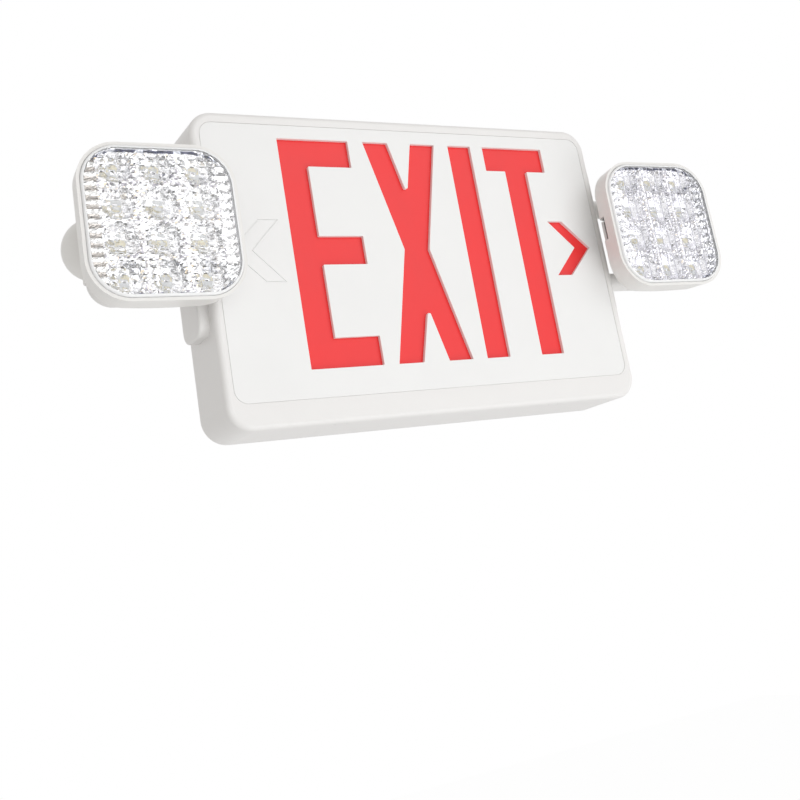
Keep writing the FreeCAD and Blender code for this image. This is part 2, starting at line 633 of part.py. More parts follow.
def makeTestButton():
    """Push button in the right wall, with the switch that it works."""
    flangeX = "houseWide / 2 - houseWall - fitGap"
    where = ("-buttonDepth", buttonUp)
    cap = rod("ButtonCap", "buttonRadius", "buttonProud + houseWall + fitGap + 0.5",
              (f"{flangeX} - 0.5",) + where, "x")
    flange = rod("ButtonFlange", "buttonFlange", "buttonFlangeThick", (flangeX,) + where, "-x")
    stem = rod("ButtonStem", "plungerRadius", "buttonStem + buttonFlangeThick", (flangeX,) + where, "-x")
    keep(fuse("Button", [cap, flange, stem]), "test_button")
    stemEnd = f"{flangeX} - buttonFlangeThick - buttonStem"
    keep(rod("Plunger", "plungerRadius", "plungerLong", (stemEnd,) + where, "-x"), "switch_plunger")
    caseFace = f"{stemEnd} - plungerLong + 1.5"
    case = box("SwitchBlank", ("switchDeep", "switchSide", "switchSide"),
               (f"{caseFace} - switchDeep / 2",) + where)
    well = rod("SwitchWell", "plungerRadius + 3 * runGap", "1.5 + buttonTravel + fitGap",
               (caseFace,) + where, "-x")
    keep(cut("SwitchCase", case, [well]), "switch_case")
    keep(box("SwitchBoard", ("boardThick", "switchBoard", "switchBoard"),
             (f"{caseFace} - switchDeep - boardThick / 2",) + where), "switch_board")


# ---- arms ----------------------------------------------------------------

def makeArm(word, side):
    """Side pad with two tubes whose elbows turn in above and below the ball."""
    wallX = f"{side} * houseWide / 2"
    outward = "x" if side > 0 else "-x"
    inward = "-x" if side > 0 else "x"
    body = newBody(word + "PadBody")
    outline = sketchOn(body, word + "PadOutline", "YZ_Plane", ("-armDepth", "armRise", wallX))
    drawRoundedBox(outline, "pad", "padDeep", "padTall", "padCorner")
    extrude(body, "Pad", word + "PadPlate", outline, "padThick", reverse=side < 0)
    outerX = side * (size.houseWide / 2 + size.padThick)
    roundEdges(body, word + "PadEdge", "padEdge",
               lambda bounds: abs(bounds.XMin - outerX) < 0.01 and abs(bounds.XMax - outerX) < 0.01)
    sockets, bores, screws = [], [], []
    for high in (-1, 1):
        tag = f"{word}{'Low' if high < 0 else 'High'}"
        tubeZ = f"armRise + {high} * tubeApart / 2"
        sockets.append(rod(tag + "Socket", "socketRadius", "padThick + socketLong",
                           (wallX, "-armDepth", tubeZ), outward))
        bores.append(rod(tag + "SocketBore", "spigotRadius + fitGap / 2", "padThick + socketLong + 2",
                         (f"{wallX} - {side}", "-armDepth", tubeZ), outward))
        screwZ = f"armRise + {high} * padScrewUp"
        bores.append(rod(tag + "Pilot", "padScrewRadius", "padScrewLong - houseWall",
                         (wallX, "-armDepth", screwZ), outward))
        headX = f"{side} * (houseWide / 2 - houseWall)"
        shaft = rod(tag + "ScrewShaft", "padScrewRadius", "padScrewLong", (headX, "-armDepth", screwZ), outward)
        head = rod(tag + "ScrewHead", "padScrewHead", "padScrewRadius + 0.5",
                   (headX, "-armDepth", screwZ), inward)
        screws.append(fuse(tag + "Screw", [shaft, head]))
    keep(cut(word + "Pad", fuse(word + "PadWhole", [body] + sockets), bores), word + "_side_pad")
    keep(group(word + "PadScrews", screws), word + "_pad_screws")
    for name, high in (("upper", 1), ("lower", -1)):
        makeTube(word, side, name, high)


def makeTube(word, side, name, high):
    """One arm tube: straight run, elbow and the bearing for the ball's pivot."""
    tag = f"{word}{name.capitalize()}"
    bend = "(tubeApart / 2 - collarTop - collarGap)"
    ballX = f"{side} * (houseWide / 2 + ballOut)"
    inward = "-x" if side > 0 else "x"
    tubeZ = f"armRise + {high} * tubeApart / 2"
    run = f"ballOut - padThick - socketLong - {bend}"
    startX = f"{ballX} - {side} * {bend}"
    solids, bores = [], []
    for kind, radius, target in (("Wall", "tubeRadius", solids), ("Bore", "tubeBore", bores)):
        extra = "0" if kind == "Wall" else "padThick + socketLong + 1"
        target.append(rod(f"{tag}{kind}Run", radius, f"{run} + {extra}", (startX, "-armDepth", tubeZ), inward))
        elbow = doc.addObject("Part::Torus", f"{tag}{kind}Elbow")
        bind(elbow, "Radius1", bend)
        bind(elbow, "Radius2", radius)
        elbow.Angle3 = 90
        # the quarter turn lies in the XZ plane, from the ball axis to the tube axis
        start = 270 if side > 0 else 180
        elbow.Placement = Placement(
            Vector(), Rotation(Vector(1, 0, 0), -90 * high) * Rotation(Vector(0, 0, 1), start))
        target.append(moveTo(elbow, (startX, "-armDepth", f"armRise + {high} * (collarTop + collarGap)")))
    solids.append(rod(tag + "Spigot", "spigotRadius", "padThick + socketLong + 1",
                      (f"{wallEnd(side)} + {side}", "-armDepth", tubeZ), inward))
    bores.append(rod(tag + "Bearing", "pivotRadius + runGap", "pivotLong + 0.4",
                     (ballX, "-armDepth", f"armRise + {high} * (collarTop + collarGap)"),
                     "z" if high > 0 else "-z"))
    keep(cut(tag + "Tube", fuse(tag + "TubeSolid", solids), bores), f"{word}_arm_{name}")


def wallEnd(side):
    """Where the straight tube meets the end of its socket boss."""
    return f"{side} * (houseWide / 2 + padThick + socketLong)"


# ---- swivel ball and carrier ---------------------------------------------

trackCentre = "-(bossOut + 2 * rideGap + carrierThick + trackRadius)"
trackCentreNumber = -(size.bossOut + 2 * size.rideGap + size.carrierThick + size.trackRadius)


def trackTurn(length):
    """The angle that a length along the track takes up, in degrees."""
    return math.degrees(length / size.trackRadius)


def makeBall(word, armSide, placement):
    """Hollow ball in two halves, with pivots above and below and a boss towards the head."""
    for name, side in (("outer", armSide), ("inner", -armSide)):
        tag = f"{word}Ball{name.capitalize()}"
        solids = [doc.addObject("Part::Sphere", tag + "Sphere")]
        bind(solids[0], "Radius", "ballRadius")
        solids.append(rod(tag + "Boss", "bossRadius", "bossOut - 8", ("0", "-8", "0"), "-y"))
        cavity = doc.addObject("Part::Sphere", tag + "Cavity")
        bind(cavity, "Radius", "ballCavity")
        bores = [cavity,
                 rod(tag + "Seat", "flangeRadius + 3 * runGap", "bossSeat", ("0", "0", "0"), "-y"),
                 rod(tag + "NeckHole", "neckRadius + runGap", "bossOut + 1", ("0", "0", "0"), "-y")]
        for high, towards in ((1, "z"), (-1, "-z")):
            solids.append(rod(f"{tag}Collar{high + 1}", "collarRadius", "collarTop", ("0", "0", "0"), towards))
            solids.append(rod(f"{tag}Pivot{high + 1}", "pivotRadius", "collarTop + pivotLong",
                              ("0", "0", "0"), towards))
            bores.append(rod(f"{tag}WireWay{high + 1}", "pivotBore", "collarTop + pivotLong + 1",
                             ("0", "0", "0"), towards))
        half = box(tag + "Half", ("2 * ballRadius", "4 * ballRadius", "4 * ballRadius"),
                   (f"{side} * ballRadius", "0", "0"))
        whole = cut(tag + "Hollow", fuse(tag + "Solid", solids), bores)
        piece = doc.addObject("Part::Common", tag)
        piece.Base = whole
        piece.Tool = half
        keep(piece, f"{word}_ball_{name}", placement)


def makeCarrier(word, placement):
    """Block that straddles the track, with the neck that turns in the ball's boss."""
    centre = ("0", trackCentre, "0")
    half = trackTurn(size.carrierLong / 2)
    spare, play = trackTurn(size.keeperSpare), trackTurn(size.runGap)
    block = arcBlock(word + "Block", "trackRadius + rideGap", "trackRadius + rideGap + carrierThick",
                     -half, half, "-carrierHalf", "carrierHalf", centre)
    pieces = [block]
    for high in (-1, 1):
        middle = f"{high} * (trackHalf + trackSlot / 2)"
        pieces.append(arcBlock(
            f"{word}Blade{high + 1}", "trackRadius - headWall - keeperGap - keeperThick",
            "trackRadius + rideGap + 1", -half, half,
            f"{middle} - bladeThick / 2", f"{middle} + bladeThick / 2", centre))
    neckStart = "-(bossOut + rideGap + carrierThick / 2)"
    pieces.append(rod(word + "Neck", "neckRadius", "bossOut + rideGap + carrierThick / 2 - bossSeat + flangeThick",
                      ("0", neckStart, "0"), "y"))
    pieces.append(rod(word + "Flange", "flangeRadius", "flangeThick",
                      ("0", "fitGap / 2 - bossSeat", "0"), "y"))
    wireWay = rod(word + "NeckBore", "neckBore", "bossOut + carrierThick + 2", ("0", neckStart, "0"), "y")
    keep(cut(word + "Carrier", fuse(word + "CarrierSolid", pieces), [wireWay]), word + "_carrier", placement)
    keeper = arcBlock(word + "Keeper", "trackRadius - headWall - keeperGap - keeperThick",
                      "trackRadius - headWall - keeperGap", -half - spare, half + spare,
                      "-carrierHalf - keeperSpare", "carrierHalf + keeperSpare", centre)
    slits = []
    for high in (-1, 1):
        middle = f"{high} * (trackHalf + trackSlot / 2)"
        slits.append(arcBlock(f"{word}Slit{high + 1}", "trackRadius - 10", "trackRadius",
                              -half - play, half + play,
                              f"{middle} - bladeThick / 2 - runGap", f"{middle} + bladeThick / 2 + runGap",
                              centre))
    keep(cut(word + "KeeperPlate", keeper, slits), word + "_keeper_plate", placement)


# ---- lamp head -----------------------------------------------------------

def headForm(name, inset):
    """Drafted block with a curved back and rounded edges, inset from the outside by a wall."""
    body = newBody(name + "Body")
    outline = sketchOn(body, name + "Outline", "XZ_Plane")
    drawRoundedBox(outline, "head", f"headWide - 2 * {inset}", f"headTall - 2 * {inset}",
                   f"headCorner - {inset}")
    pad = extrude(body, "Pad", name + "Block", outline, "headDeep + 5", reverse=True)
    bind(pad, "TaperAngle", "-headDraft")
    barrel = doc.addObject("Part::Cylinder", name + "Barrel")
    bind(barrel, "Radius", f"trackRadius - {inset}")
    bind(barrel, "Height", "2 * headTall")
    moveTo(barrel, ("0", "headDeep - trackRadius", "-headTall"))
    form = doc.addObject("Part::Common", name + "Form")
    form.Base = body
    form.Tool = barrel
    doc.recompute()
    radius = size.headEdge - (0 if inset == "0" else getattr(size, inset))
    backEdges = []
    for number, edge in enumerate(form.Shape.Edges, 1):
        middle = edge.valueAt((edge.FirstParameter + edge.LastParameter) / 2)
        reach = math.hypot(middle.x, middle.y - size.headDeep + size.trackRadius)
        if middle.y > 1 and abs(reach - barrel.Radius.Value) < 0.01:
            backEdges.append((number, radius, radius))
    rounded = doc.addObject("Part::Fillet", name)
    rounded.Base = form
    rounded.Edges = backEdges
    return rounded


def makeHead(word, placement, inner):
    """Lamp head. Its slots end in an entry window at the end nearer the sign."""
    centre = ("0", "headDeep - trackRadius", "0")
    outer = headForm(word + "HeadOuter", "0")
    hollow = headForm(word + "HeadInner", "headWall")
    reach = ("trackRadius - 11", "trackRadius + 8")
    slotEnd, windowStart, windowEnd = [trackTurn(size.trackEnd), trackTurn(size.windowStart),
                                       trackTurn(size.windowEnd)]
    cutters = [hollow]
    for high in (-1, 1):
        low = "trackHalf" if high > 0 else "-trackHalf - trackSlot"
        top = "trackHalf + trackSlot" if high > 0 else "-trackHalf"
        first, last = sorted((-inner * slotEnd, inner * windowEnd))
        cutters.append(arcBlock(f"{word}Slot{high + 1}", reach[0], reach[1], first, last, low, top, centre))
    first, last = sorted((inner * windowStart, inner * windowEnd))
    cutters.append(arcBlock(word + "Window", reach[0], reach[1], first, last,
                            "-trackHalf - trackSlot", "trackHalf + trackSlot", centre))
    for number in range(int(size.ribCount) + 1):
        middle = trackTurn((number - size.ribCount / 2) * size.ribPitch)
        gap = trackTurn((size.ribPitch - size.ribWide) / 2)
        cutters.append(arcBlock(f"{word}RibGap{number}", "trackRadius - ribRise", "trackRadius + 1",
                                middle - gap, middle + gap, "-ribHalf", "ribHalf", centre))
    posts, pilots = [], []
    for across in (-1, 1):
        for up in (-1, 1):
            number = len(posts)
            where = (f"{across} * postAcross", "headDeep - 3", f"{up} * postUp")
            posts.append(rod(f"{word}Post{number}", "postRadius", "headDeep - 3 - " + lampBoardBack,
                             where, "-y"))
            pilots.append(rod(f"{word}Pilot{number}", "lampScrewRadius", "lampScrewLong",
                              (where[0], lampBoardBack + " - boardThick", where[2]), "y"))
    shell = cut(word + "HeadShell", outer, cutters)
    inside = doc.addObject("Part::Common", word + "PostsInside")
    inside.Base = fuse(word + "Posts", posts)
    inside.Tool = outer
    keep(cut(word + "Head", fuse(word + "HeadWhole", [shell, inside]), pilots), word + "_head_shell", placement)


traySeat = "(lensThick - lensProud)"
lampBoardFront = f"({traySeat} + cupDeep)"
lampBoardBack = f"({traySeat} + cupDeep + boardThick)"


def cupCentres():
    """The centres of the reflector cups, as expressions."""
    columns, rows = int(size.cupColumns), int(size.cupRows)
    return [(f"cupPitchAcross * {column - (columns - 1) / 2}", f"cupPitchUp * {row - (rows - 1) / 2}")
            for column in range(columns) for row in range(rows)]


def makeReflector(word, placement):
    """Plate with a grid of tapered cups, open at both ends."""
    body = newBody(word + "TrayBody")
    outline = sketchOn(body, word + "TrayOutline", "XZ_Plane", ("0", "0", f"-{traySeat} - trayThick"))
    drawRoundedBox(outline, "tray", "headWide - 2 * trayInset", "headTall - 2 * trayInset",
                   "headCorner - trayInset")
    extrude(body, "Pad", word + "TrayPlate", outline, "trayThick")
    walls, hollows = [body], []
    for across, up in cupCentres():
        number = len(hollows)
        walls.append(cone(f"{word}CupWall{number}", "cupMouth + 0.2", "cupThroat + cupWall", "cupDeep - fitGap",
                          (across, traySeat, up), "y"))
        hollows.append(cone(f"{word}CupHollow{number}", "cupMouth", "cupThroat", "cupDeep",
                            (across, traySeat, up), "y"))
    keep(cut(word + "Reflector", fuse(word + "TrayWithCups", walls), hollows), word + "_reflector", placement)


def makeLampBoard(word, placement):
    """LED board behind the reflector, with two LEDs in the throat of each cup."""
    body = newBody(word + "BoardBody")
    outline = sketchOn(body, word + "BoardOutline", "XZ_Plane", ("0", "0", "-" + lampBoardBack))
    drawRoundedBox(outline, "board", "lampBoardWide", "lampBoardTall", "lampBoardCorner")
    for across in (-1, 1):
        for up in (-1, 1):
            tag = f"screw{'LR'[across > 0]}{'BT'[up > 0]}"
            drawCircle(outline, tag, f"{across} * postAcross", f"{up} * postUp", "lampScrewRadius + fitGap / 2")
    extrude(body, "Pad", word + "BoardPlate", outline, "boardThick")
    keep(body, word + "_lamp_board", placement)
    chips = []
    for across, up in cupCentres():
        for step in (-1, 1):
            chips.append(box(f"{word}Chip{len(chips)}", ("chipSide", "chipThick", "chipSide"),
                             (f"{across} + {step} * chipApart / 2", f"{lampBoardFront} - chipThick / 2", up)))
    keep(group(word + "Leds", chips), word + "_leds", placement)
    screws = []
    for across in (-1, 1):
        for up in (-1, 1):
            tag = f"{word}LampScrew{len(screws)}"
            where = (f"{across} * postAcross", lampBoardFront, f"{up} * postUp")
            shaft = rod(tag + "Shaft", "lampScrewRadius", "lampScrewLong", where, "y")
            head = rod(tag + "Head", "lampScrewHead", "lampScrewRadius", where, "-y")
            screws.append(fuse(tag, [shaft, head]))
    keep(group(word + "LampScrews", screws), word + "_lamp_screws", placement)


def makeLens(word, placement):
    """Clear cover with a rounded edge and a skirt that enters the rim."""
    body = newBody(word + "LensBody")
    outline = sketchOn(body, word + "LensOutline", "XZ_Plane", ("0", "0", "lensProud - lensThick"))
    drawRoundedBox(outline, "lens", "headWide - 2 * lensInset", "headTall - 2 * lensInset",
                   "headCorner - lensInset")
    extrude(body, "Pad", word + "LensBlock", outline, "lensThick")
    roundEdges(body, word + "LensEdge", "lensRound", edgesAtY(-size.lensProud))
    hollow = sketchOn(body, word + "LensHollow", "XZ_Plane", ("0", "0", "lensProud - lensThick"))
    drawRoundedBox(hollow, "bay", "headWide - 2 * (lensInset + lensSkirt)",
                   "headTall - 2 * (lensInset + lensSkirt)", "headCorner - lensInset - lensSkirt")
    extrude(body, "Pocket", word + "LensBay", hollow, "lensThick - lensFace", reverse=True)
    keep(body, word + "_lens", placement)


# ---- the whole light -----------------------------------------------------

def makeLamp(word, side, neckTurn, headTurn):
    """Ball, carrier and head of one side, each in its own frame and then placed."""
    ballCentre = Vector(side * (size.houseWide / 2 + size.ballOut), -size.armDepth, size.armRise)
    ballPlace = Placement(ballCentre, Rotation(Vector(0, 0, 1), -side * neckTurn))
    makeBall(word, side, ballPlace)
    makeCarrier(word, ballPlace)
    track = Placement(Vector(0, trackCentreNumber, 0), Rotation(Vector(0, 0, 1), side * (neckTurn + headTurn)))
    toRim = Placement(Vector(0, size.trackRadius - size.headDeep, 0), Rotation())
    headPlace = ballPlace * track * toRim
    makeHead(word, headPlace, -side)
    makeReflector(word, headPlace)
    makeLampBoard(word, headPlace)
    makeLens(word, headPlace)


makeHousing()
makeBackCover()
makeStencilFace()
makeDiffuser()
makeSignLamps()
makeDriver()
makeBattery()
makeTestButton()
for word, side in sides:
    makeArm(word, side)
makeLamp("left", -1, size.neckTurnLeft, size.headTurnLeft)
makeLamp("right", 1, size.neckTurnRight, size.headTurnRight)
doc.recompute()

for thing in doc.Objects:
    if "Invalid" in thing.State or "Error" in thing.State:
        raise RuntimeError(f"{thing.Name}: {thing.State} {thing.getStatusString()}")
os.makedirs("parts", exist_ok=True)
for thing in parts:
    shape = thing.Shape
    if shape.isNull() or not shape.isValid() or not shape.Solids:
        raise RuntimeError(f"{thing.Label} has no valid shape")
    shape.exportStep(f"parts/{thing.Label}.step")
print(len(parts), "parts,", sum(len(thing.Shape.Solids) for thing in parts), "solids")
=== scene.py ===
import json
import math
import random

import bmesh
import bpy
from mathutils import Matrix, Vector


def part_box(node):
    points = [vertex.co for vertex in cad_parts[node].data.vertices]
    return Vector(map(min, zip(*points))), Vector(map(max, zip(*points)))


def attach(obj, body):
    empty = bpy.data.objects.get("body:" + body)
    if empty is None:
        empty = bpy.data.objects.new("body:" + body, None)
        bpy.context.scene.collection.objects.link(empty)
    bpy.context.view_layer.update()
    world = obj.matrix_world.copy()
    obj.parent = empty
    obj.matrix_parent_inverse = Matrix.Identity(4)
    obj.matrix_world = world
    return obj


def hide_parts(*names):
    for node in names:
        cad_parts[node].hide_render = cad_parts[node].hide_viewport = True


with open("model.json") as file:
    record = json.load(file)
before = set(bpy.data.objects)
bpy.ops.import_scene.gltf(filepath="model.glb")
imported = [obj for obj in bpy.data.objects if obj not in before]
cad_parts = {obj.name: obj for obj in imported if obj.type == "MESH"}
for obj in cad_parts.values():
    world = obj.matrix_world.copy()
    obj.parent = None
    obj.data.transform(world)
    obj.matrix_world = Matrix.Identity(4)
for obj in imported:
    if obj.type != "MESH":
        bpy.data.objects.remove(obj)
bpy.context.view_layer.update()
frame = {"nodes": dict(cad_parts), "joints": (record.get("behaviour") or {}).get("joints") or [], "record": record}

nodes = frame["nodes"]
mm = 0.001
scene = bpy.context.scene


def newMaterial(name, colour, roughness, **sockets):
    material = bpy.data.materials.new(name)
    material.use_nodes = True
    shader = material.node_tree.nodes["Principled BSDF"]
    shader.inputs["Base Color"].default_value = (*colour, 1)
    shader.inputs["Roughness"].default_value = roughness
    for label, value in sockets.items():
        shader.inputs[label.replace("_", " ")].default_value = value
    return material


def addNode(material, kind, **settings):
    node = material.node_tree.nodes.new(kind)
    for label, value in settings.items():
        if label in node.inputs:
            node.inputs[label].default_value = value
        else:
            setattr(node, label, value)
    return node


def wire(material, source, output, target, socket):
    material.node_tree.links.new(source.outputs[output], target.inputs[socket])


grainLook = {
    "detail": 3.0, "roughness": 0.6, "bumpStrength": 0.6,
    "patchScale": 28.0, "patchDetail": 2.0, "patchEnds": (0.3, 0.7),
}


# fine moulded grain as a bump, with wide patches that shift the colour and the gloss a little
def addGrain(material, grainSize, height, colourShift, roughShift):
    shader = material.node_tree.nodes["Principled BSDF"]
    place = addNode(material, "ShaderNodeTexCoord")
    grain = addNode(material, "ShaderNodeTexNoise", Scale=1 / grainSize, Detail=grainLook["detail"],
                    Roughness=grainLook["roughness"])
    wire(material, place, "Object", grain, "Vector")
    bump = addNode(material, "ShaderNodeBump", Strength=grainLook["bumpStrength"], Distance=height)
    wire(material, grain, "Fac", bump, "Height")
    wire(material, bump, "Normal", shader, "Normal")
    patches = addNode(material, "ShaderNodeTexNoise", Scale=grainLook["patchScale"],
                      Detail=grainLook["patchDetail"])
    wire(material, place, "Object", patches, "Vector")
    tone = addNode(material, "ShaderNodeValToRGB")
    base = shader.inputs["Base Color"].default_value
    darker = (*(channel * (1 - colourShift) for channel in base[:3]), 1)
    for stop, position, colour in zip(tone.color_ramp.elements, grainLook["patchEnds"], (darker, base)):
        stop.position = position
        stop.color = colour
    wire(material, patches, "Fac", tone, "Fac")
    wire(material, tone, "Color", shader, "Base Color")
    gloss = addNode(material, "ShaderNodeMapRange")
    middle = shader.inputs["Roughness"].default_value
    gloss.inputs["To Min"].default_value = middle - roughShift
    gloss.inputs["To Max"].default_value = middle + roughShift
    wire(material, patches, "Fac", gloss, "Value")
    wire(material, gloss, "Result", shader, "Roughness")


# multiply the colour by one kept in the mesh
def tintBy(material, layer):
    shader = material.node_tree.nodes["Principled BSDF"]
    link = shader.inputs["Base Color"].links[0]
    tint = addNode(material, "ShaderNodeAttribute", attribute_name=layer)
    blend = addNode(material, "ShaderNodeMix", data_type="RGBA", blend_type="MULTIPLY")
    blend.inputs["Factor"].default_value = 1.0
    material.node_tree.links.new(link.from_socket, blend.inputs["A"])
    material.node_tree.links.new(tint.outputs["Color"], blend.inputs["B"])
    material.node_tree.links.new(blend.outputs["Result"], shader.inputs["Base Color"])


# colour and roughness of each finish, its grain in mm, and what else its shader needs
finishes = {
    "housingPlastic": {"colour": (0.83, 0.82, 0.81), "roughness": 0.42, "grain": 0.6, "height": 0.03},
    "facePlastic": {"colour": (0.85, 0.85, 0.845), "roughness": 0.38, "grain": 0.5, "height": 0.02},
    "lampPlastic": {"colour": (0.82, 0.81, 0.79), "roughness": 0.36, "grain": 0.6, "height": 0.03},
    "redPanel": {
        "colour": (0.87, 0.028, 0.030), "roughness": 0.4, "grain": 0.8, "height": 0.02, "colourShift": 0.05,
        "Subsurface_Weight": 0.15, "Subsurface_Radius": (4 * mm, 1 * mm, 1 * mm),
    },
    "clearPlastic": {
        "colour": (1, 1, 1), "roughness": 0.025, "grain": 1.5, "height": 0.004, "colourShift": 0.01,
        "roughShift": 0.01, "Transmission_Weight": 1.0, "IOR": 1.49,
    },
    "mirrorCoat": {
        "colour": (0.97, 0.97, 0.98), "roughness": 0.08, "grain": 1.2, "height": 0.02, "colourShift": 0.05,
        "roughShift": 0.04, "Metallic": 1.0,
    },
    "lensEdge": {
        "colour": (0.95, 0.955, 0.96), "roughness": 0.25, "grain": 1.5, "height": 0.005,
        "Transmission_Weight": 0.1, "IOR": 1.49,
    },
    # painted shade: grey-violet lines on the seams between the lens pillows
    "lensSeam": {
        "colour": (0.78, 0.77, 0.86), "roughness": 0.3, "grain": 1.5, "height": 0.005,
        "Transmission_Weight": 0.3, "IOR": 1.49,
    },
    "ledPhosphor": {"colour": (0.95, 0.88, 0.68), "roughness": 0.35, "grain": 0.4, "height": 0.01},
    "whiteBoard": {"colour": (0.85, 0.86, 0.87), "roughness": 0.3, "grain": 0.6, "height": 0.01},
    "greenBoard": {
        "colour": (0.03, 0.16, 0.07), "roughness": 0.3, "grain": 0.9, "height": 0.02, "colourShift": 0.2,
    },
    "screwSteel": {
        "colour": (0.6, 0.6, 0.62), "roughness": 0.3, "grain": 0.5, "height": 0.02, "colourShift": 0.1,
        "Metallic": 1.0,
    },
    "coreSteel": {
        "colour": (0.12, 0.11, 0.11), "roughness": 0.45, "grain": 0.7, "height": 0.04, "colourShift": 0.2,
        "Metallic": 0.7,
    },
    "sleeve": {
        "colour": (0.05, 0.16, 0.35), "roughness": 0.3, "grain": 0.8, "height": 0.02, "colourShift": 0.1,
    },
    "darkPlastic": {
        "colour": (0.02, 0.02, 0.022), "roughness": 0.4, "grain": 0.7, "height": 0.03, "colourShift": 0.2,
    },
    "greenPlastic": {
        "colour": (0.05, 0.28, 0.1), "roughness": 0.4, "grain": 0.7, "height": 0.03, "colourShift": 0.1,
    },
    "buttonPlastic": {"colour": (0.7, 0.7, 0.68), "roughness": 0.3, "grain": 0.5, "height": 0.01},
}


def makeFinish(name, colour, roughness, grain, height, colourShift=0.02, roughShift=0.05, **sockets):
    material = newMaterial(name, colour, roughness, **sockets)
    addGrain(material, grain * mm, height * mm, colourShift, roughShift)
    return material


materials = {name: makeFinish(name, **values) for name, values in finishes.items()}
# the mirror coat is multiplied by the painted reflections and shade kept in each facet
tintBy(materials["mirrorCoat"], "tint")

slotFinish = {
    "white_plastic": "housingPlastic", "face_plastic": "facePlastic", "red_diffuser": "redPanel",
    "clear_lens": "clearPlastic", "mirror_coat": "mirrorCoat", "led": "ledPhosphor",
    "circuit_board": "greenBoard", "white_board": "whiteBoard", "screw_steel": "screwSteel",
    "core_steel": "coreSteel", "can_metal": "sleeve", "cell_sleeve": "sleeve",
    "dark_plastic": "darkPlastic", "green_plastic": "greenPlastic", "button_plastic": "buttonPlastic",
}
slotOf = {entry["node"]: entry["material_slot"] for entry in frame["record"]["subparts"]}
lampWords = ("head_shell", "carrier", "keeper_plate", "ball_outer", "ball_inner")
for name, item in nodes.items():
    finish = "lampPlastic" if name.endswith(lampWords) else slotFinish[slotOf[name]]
    item.data.materials.clear()
    item.data.materials.append(materials[finish])
print(len(materials), "finishes on", len(nodes), "nodes")


def addPiece(name, mesh, finish, body, replaced=None):
    piece = bpy.data.objects.new(name, mesh)
    scene.collection.objects.link(piece)
    mesh.materials.clear()
    mesh.materials.append(materials[finish])
    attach(piece, body)
    if replaced:
        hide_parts(replaced)
    return piece


# a prism from a closed outline in the X-Z plane, between two depths
def addPrism(bm, outline, front, back):
    near = [bm.verts.new((x * mm, front * mm, z * mm)) for x, z in outline]
    far = [bm.verts.new((x * mm, back * mm, z * mm)) for x, z in outline]
    bm.faces.new(near)
    bm.faces.new(far[::-1])
    count = len(outline)
    for i in range(count):
        bm.faces.new((near[i], far[i], far[(i + 1) % count], near[(i + 1) % count]))


# small round at each corner of an outline
def roundCorners(outline, radius, steps=3):
    result = []
    count = len(outline)
    for i, corner in enumerate(outline):
        here = Vector(corner)
        before = (Vector(outline[i - 1]) - here).normalized()
        after = (Vector(outline[(i + 1) % count]) - here).normalized()
        first, last = here + before * radius, here + after * radius
        for step in range(steps + 1):
            t = step / steps
            point = first * (1 - t) ** 2 + here * 2 * t * (1 - t) + last * t ** 2
            result.append(tuple(point))
    return result


def finishMesh(bm, name):
    bmesh.ops.recalc_face_normals(bm, faces=bm.faces[:])
    mesh = bpy.data.meshes.new(name)
    bm.to_mesh(mesh)
    bm.free()
    return mesh


weldReach = 0.002  # mm


def weldedCopy(name):
    bm = bmesh.new()
    bm.from_mesh(nodes[name].data)
    bmesh.ops.remove_doubles(bm, verts=bm.verts[:], dist=weldReach * mm)
    return finishMesh(bm, name + "Copy")


def cutMesh(mesh, cutterMesh, name):
    base = bpy.data.objects.new("base", mesh)
    cutter = bpy.data.objects.new("cutter", cutterMesh)
    for item in (base, cutter):
        scene.collection.objects.link(item)
    step = base.modifiers.new("cut", "BOOLEAN")
    step.object = cutter
    step.operation = "DIFFERENCE"
    step.solver = "EXACT"
    step.use_self = True
    bpy.context.view_layer.update()
    finished = base.evaluated_get(bpy.context.evaluated_depsgraph_get())
    result = bpy.data.meshes.new_from_object(finished)
    result.name = name
    for item in (base, cutter):
        bpy.data.objects.remove(item)
    return result


lettering = {
    "centre": (0.7, 4.45),                  # middle of the line of letters, mm across and up
    "top": 80.6, "bottom": -71.8,
    "cornerRound": 0.5,
    "cutAhead": 1.0, "cutBehind": 3.0,      # reach of the cutters before and behind the face's front
    "knockOutWide": 0.7, "knockOutDeep": 0.5,
    "edgeRound": 0.25,
}
faceSeam = {
    "corner": 8.5, "cornerSteps": 8,
    "overlap": 0.1, "wide": 0.4,            # from just inside the face's edge to the frame
    "front": 0.4, "back": 2.4,              # both behind the face's front
}


def letterOutlines():
    top, bottom = lettering["top"], lettering["bottom"]
    letterE = [(-97.0, top), (-46.0, top), (-46.0, 61.7), (-77.5, 61.7), (-77.5, 14.2), (-46.0, 14.2),
               (-46.0, -4.9), (-77.5, -4.9), (-77.5, -52.6), (-46.0, -52.6), (-46.0, bottom), (-97.0, bottom)]
    letterX = [(-34.9, top), (-15.9, top), (-8.0, 48.0), (-5.9, 48.0), (2.1, top), (21.3, top), (2.7, 4.9),
               (21.1, bottom), (2.6, bottom), (-5.6, -39.3), (-7.7, -39.3), (-16.7, bottom),
               (-35.3, bottom), (-16.6, 4.9)]
    letterI = [(32.3, top), (50.9, top), (50.9, bottom), (32.3, bottom)]
    letterT = [(61.1, top), (112.4, top), (112.4, 62.6), (96.1, 62.6), (96.1, bottom), (77.2, bottom),
               (77.2, 62.6), (61.1, 62.6)]
    return [letterE, letterX, letterI, letterT]


chevron = [(105.1, 25.0), (117.9, 25.0), (138.6, 5.0), (117.9, -15.4), (105.1, -15.4), (124.8, 5.0)]


def placed(outline):
    across, up = lettering["centre"]
    return [(x + across, z + up) for x, z in outline]


